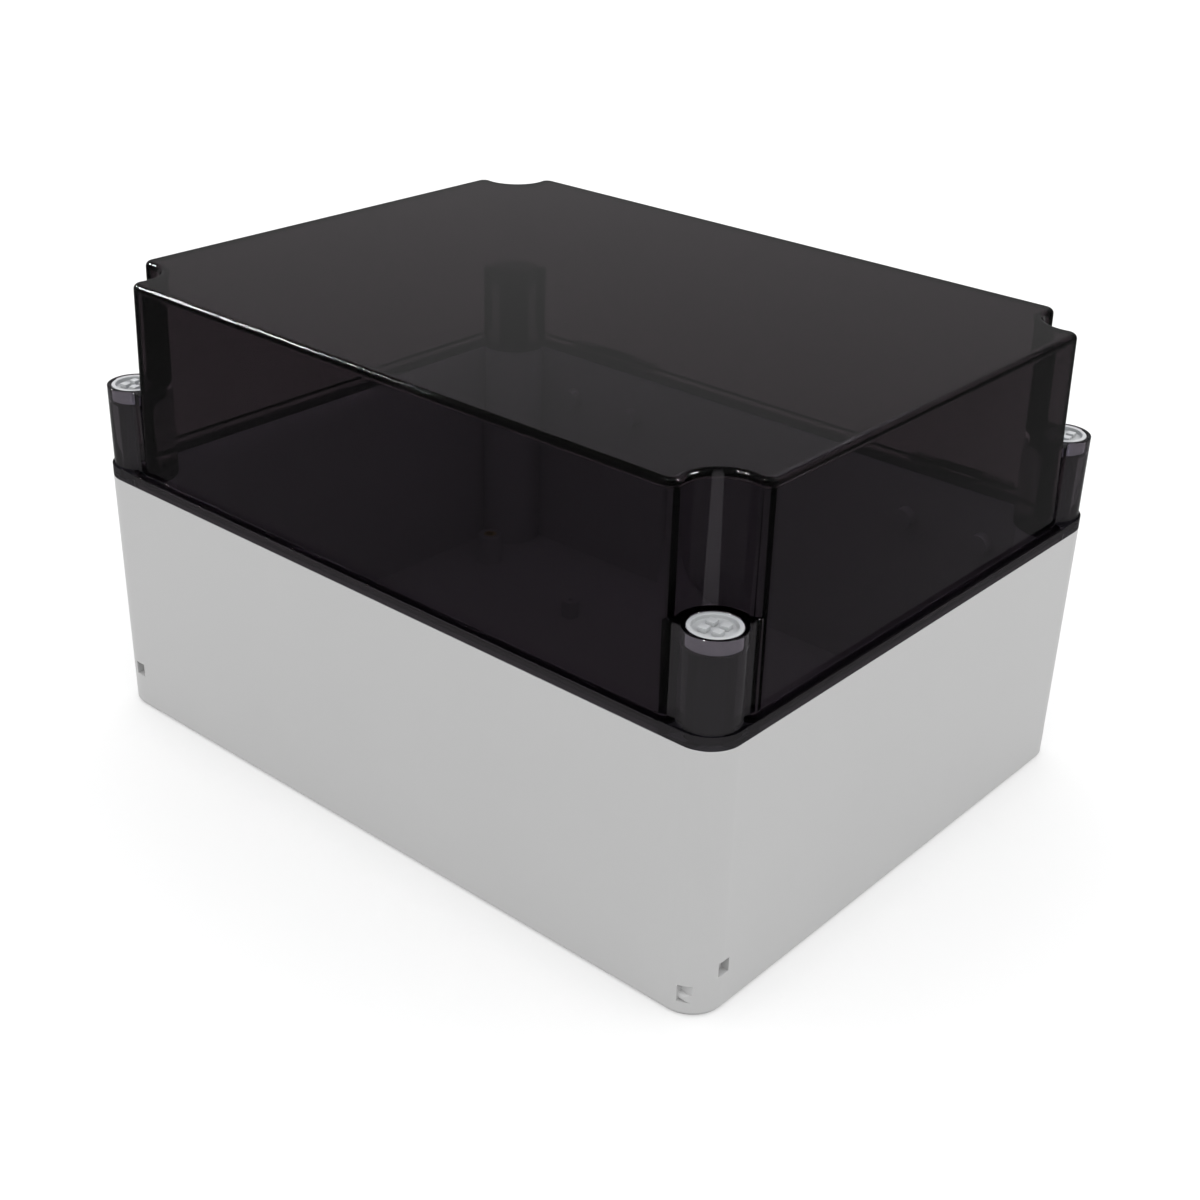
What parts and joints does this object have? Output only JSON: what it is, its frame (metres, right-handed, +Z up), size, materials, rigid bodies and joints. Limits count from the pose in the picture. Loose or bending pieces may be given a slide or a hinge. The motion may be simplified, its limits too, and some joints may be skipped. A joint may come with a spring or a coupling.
{
  "type": "hinged electrical enclosure",
  "caption": "Wall-mounting polycarbonate box with a deep smoked transparent hinged lid, scalloped corners and quarter-turn closures on corner posts.",
  "frame": {"origin": "centre of the base's underside, midway between the four wall-fixing holes", "axes": "+X along the long side, -Y towards the front, +Y towards the hinges, +Z up towards the lid"},
  "size_m": [0.302, 0.2417, 0.18],
  "materials": {
    "base_pc": "fine spark-eroded texture",
    "smoked_pc": "gloss, smoked transparent polycarbonate",
    "closure_grey": "moulded polyamide",
    "seal": "foamed polyurethane and nitrile rubber",
    "steel": "turned stainless steel",
    "brass": "turned, knurled"
  },
  "bodies": {
    "base": {"base_shell": "base_pc", "insert_front_left": "brass", "insert_front_right": "brass", "insert_rear_left": "brass", "insert_rear_right": "brass", "hinge_bracket_left": "base_pc", "hinge_bracket_right": "base_pc", "bracket_screws_left": "steel", "bracket_screws_right": "steel", "hinge_pin_left": "steel", "hinge_pin_right": "steel"},
    "lid": {"lid_shell": "smoked_pc", "gasket": "seal", "o_ring_front_left": "seal", "o_ring_front_right": "seal", "o_ring_rear_left": "seal", "o_ring_rear_right": "seal"},
    "closure_front_left": {"closure_front_left": "closure_grey", "cross_pin_front_left": "steel"},
    "closure_front_right": {"closure_front_right": "closure_grey", "cross_pin_front_right": "steel"},
    "closure_rear_left": {"closure_rear_left": "closure_grey", "cross_pin_rear_left": "steel"},
    "closure_rear_right": {"closure_rear_right": "closure_grey", "cross_pin_rear_right": "steel"}
  },
  "joints": [
    {"name": "lid_hinge", "type": "hinge", "parent": "base", "child": "lid", "pos_m": [0, 0.1215, 0.1], "axis": [-1, 0, 0], "range_deg": [0, 110]},
    {"name": "closure_front_left_turn", "type": "hinge", "parent": "lid", "child": "closure_front_left", "pos_m": [-0.1395, -0.1045, 0.131], "axis": [0, 0, -1], "range_deg": [0, 90]},
    {"name": "closure_front_right_turn", "type": "hinge", "parent": "lid", "child": "closure_front_right", "pos_m": [0.1395, -0.1045, 0.131], "axis": [0, 0, -1], "range_deg": [0, 90]},
    {"name": "closure_rear_left_turn", "type": "hinge", "parent": "lid", "child": "closure_rear_left", "pos_m": [-0.1395, 0.1045, 0.131], "axis": [0, 0, -1], "range_deg": [0, 90]},
    {"name": "closure_rear_right_turn", "type": "hinge", "parent": "lid", "child": "closure_rear_right", "pos_m": [0.1395, 0.1045, 0.131], "axis": [0, 0, -1], "range_deg": [0, 90]}
  ]
}
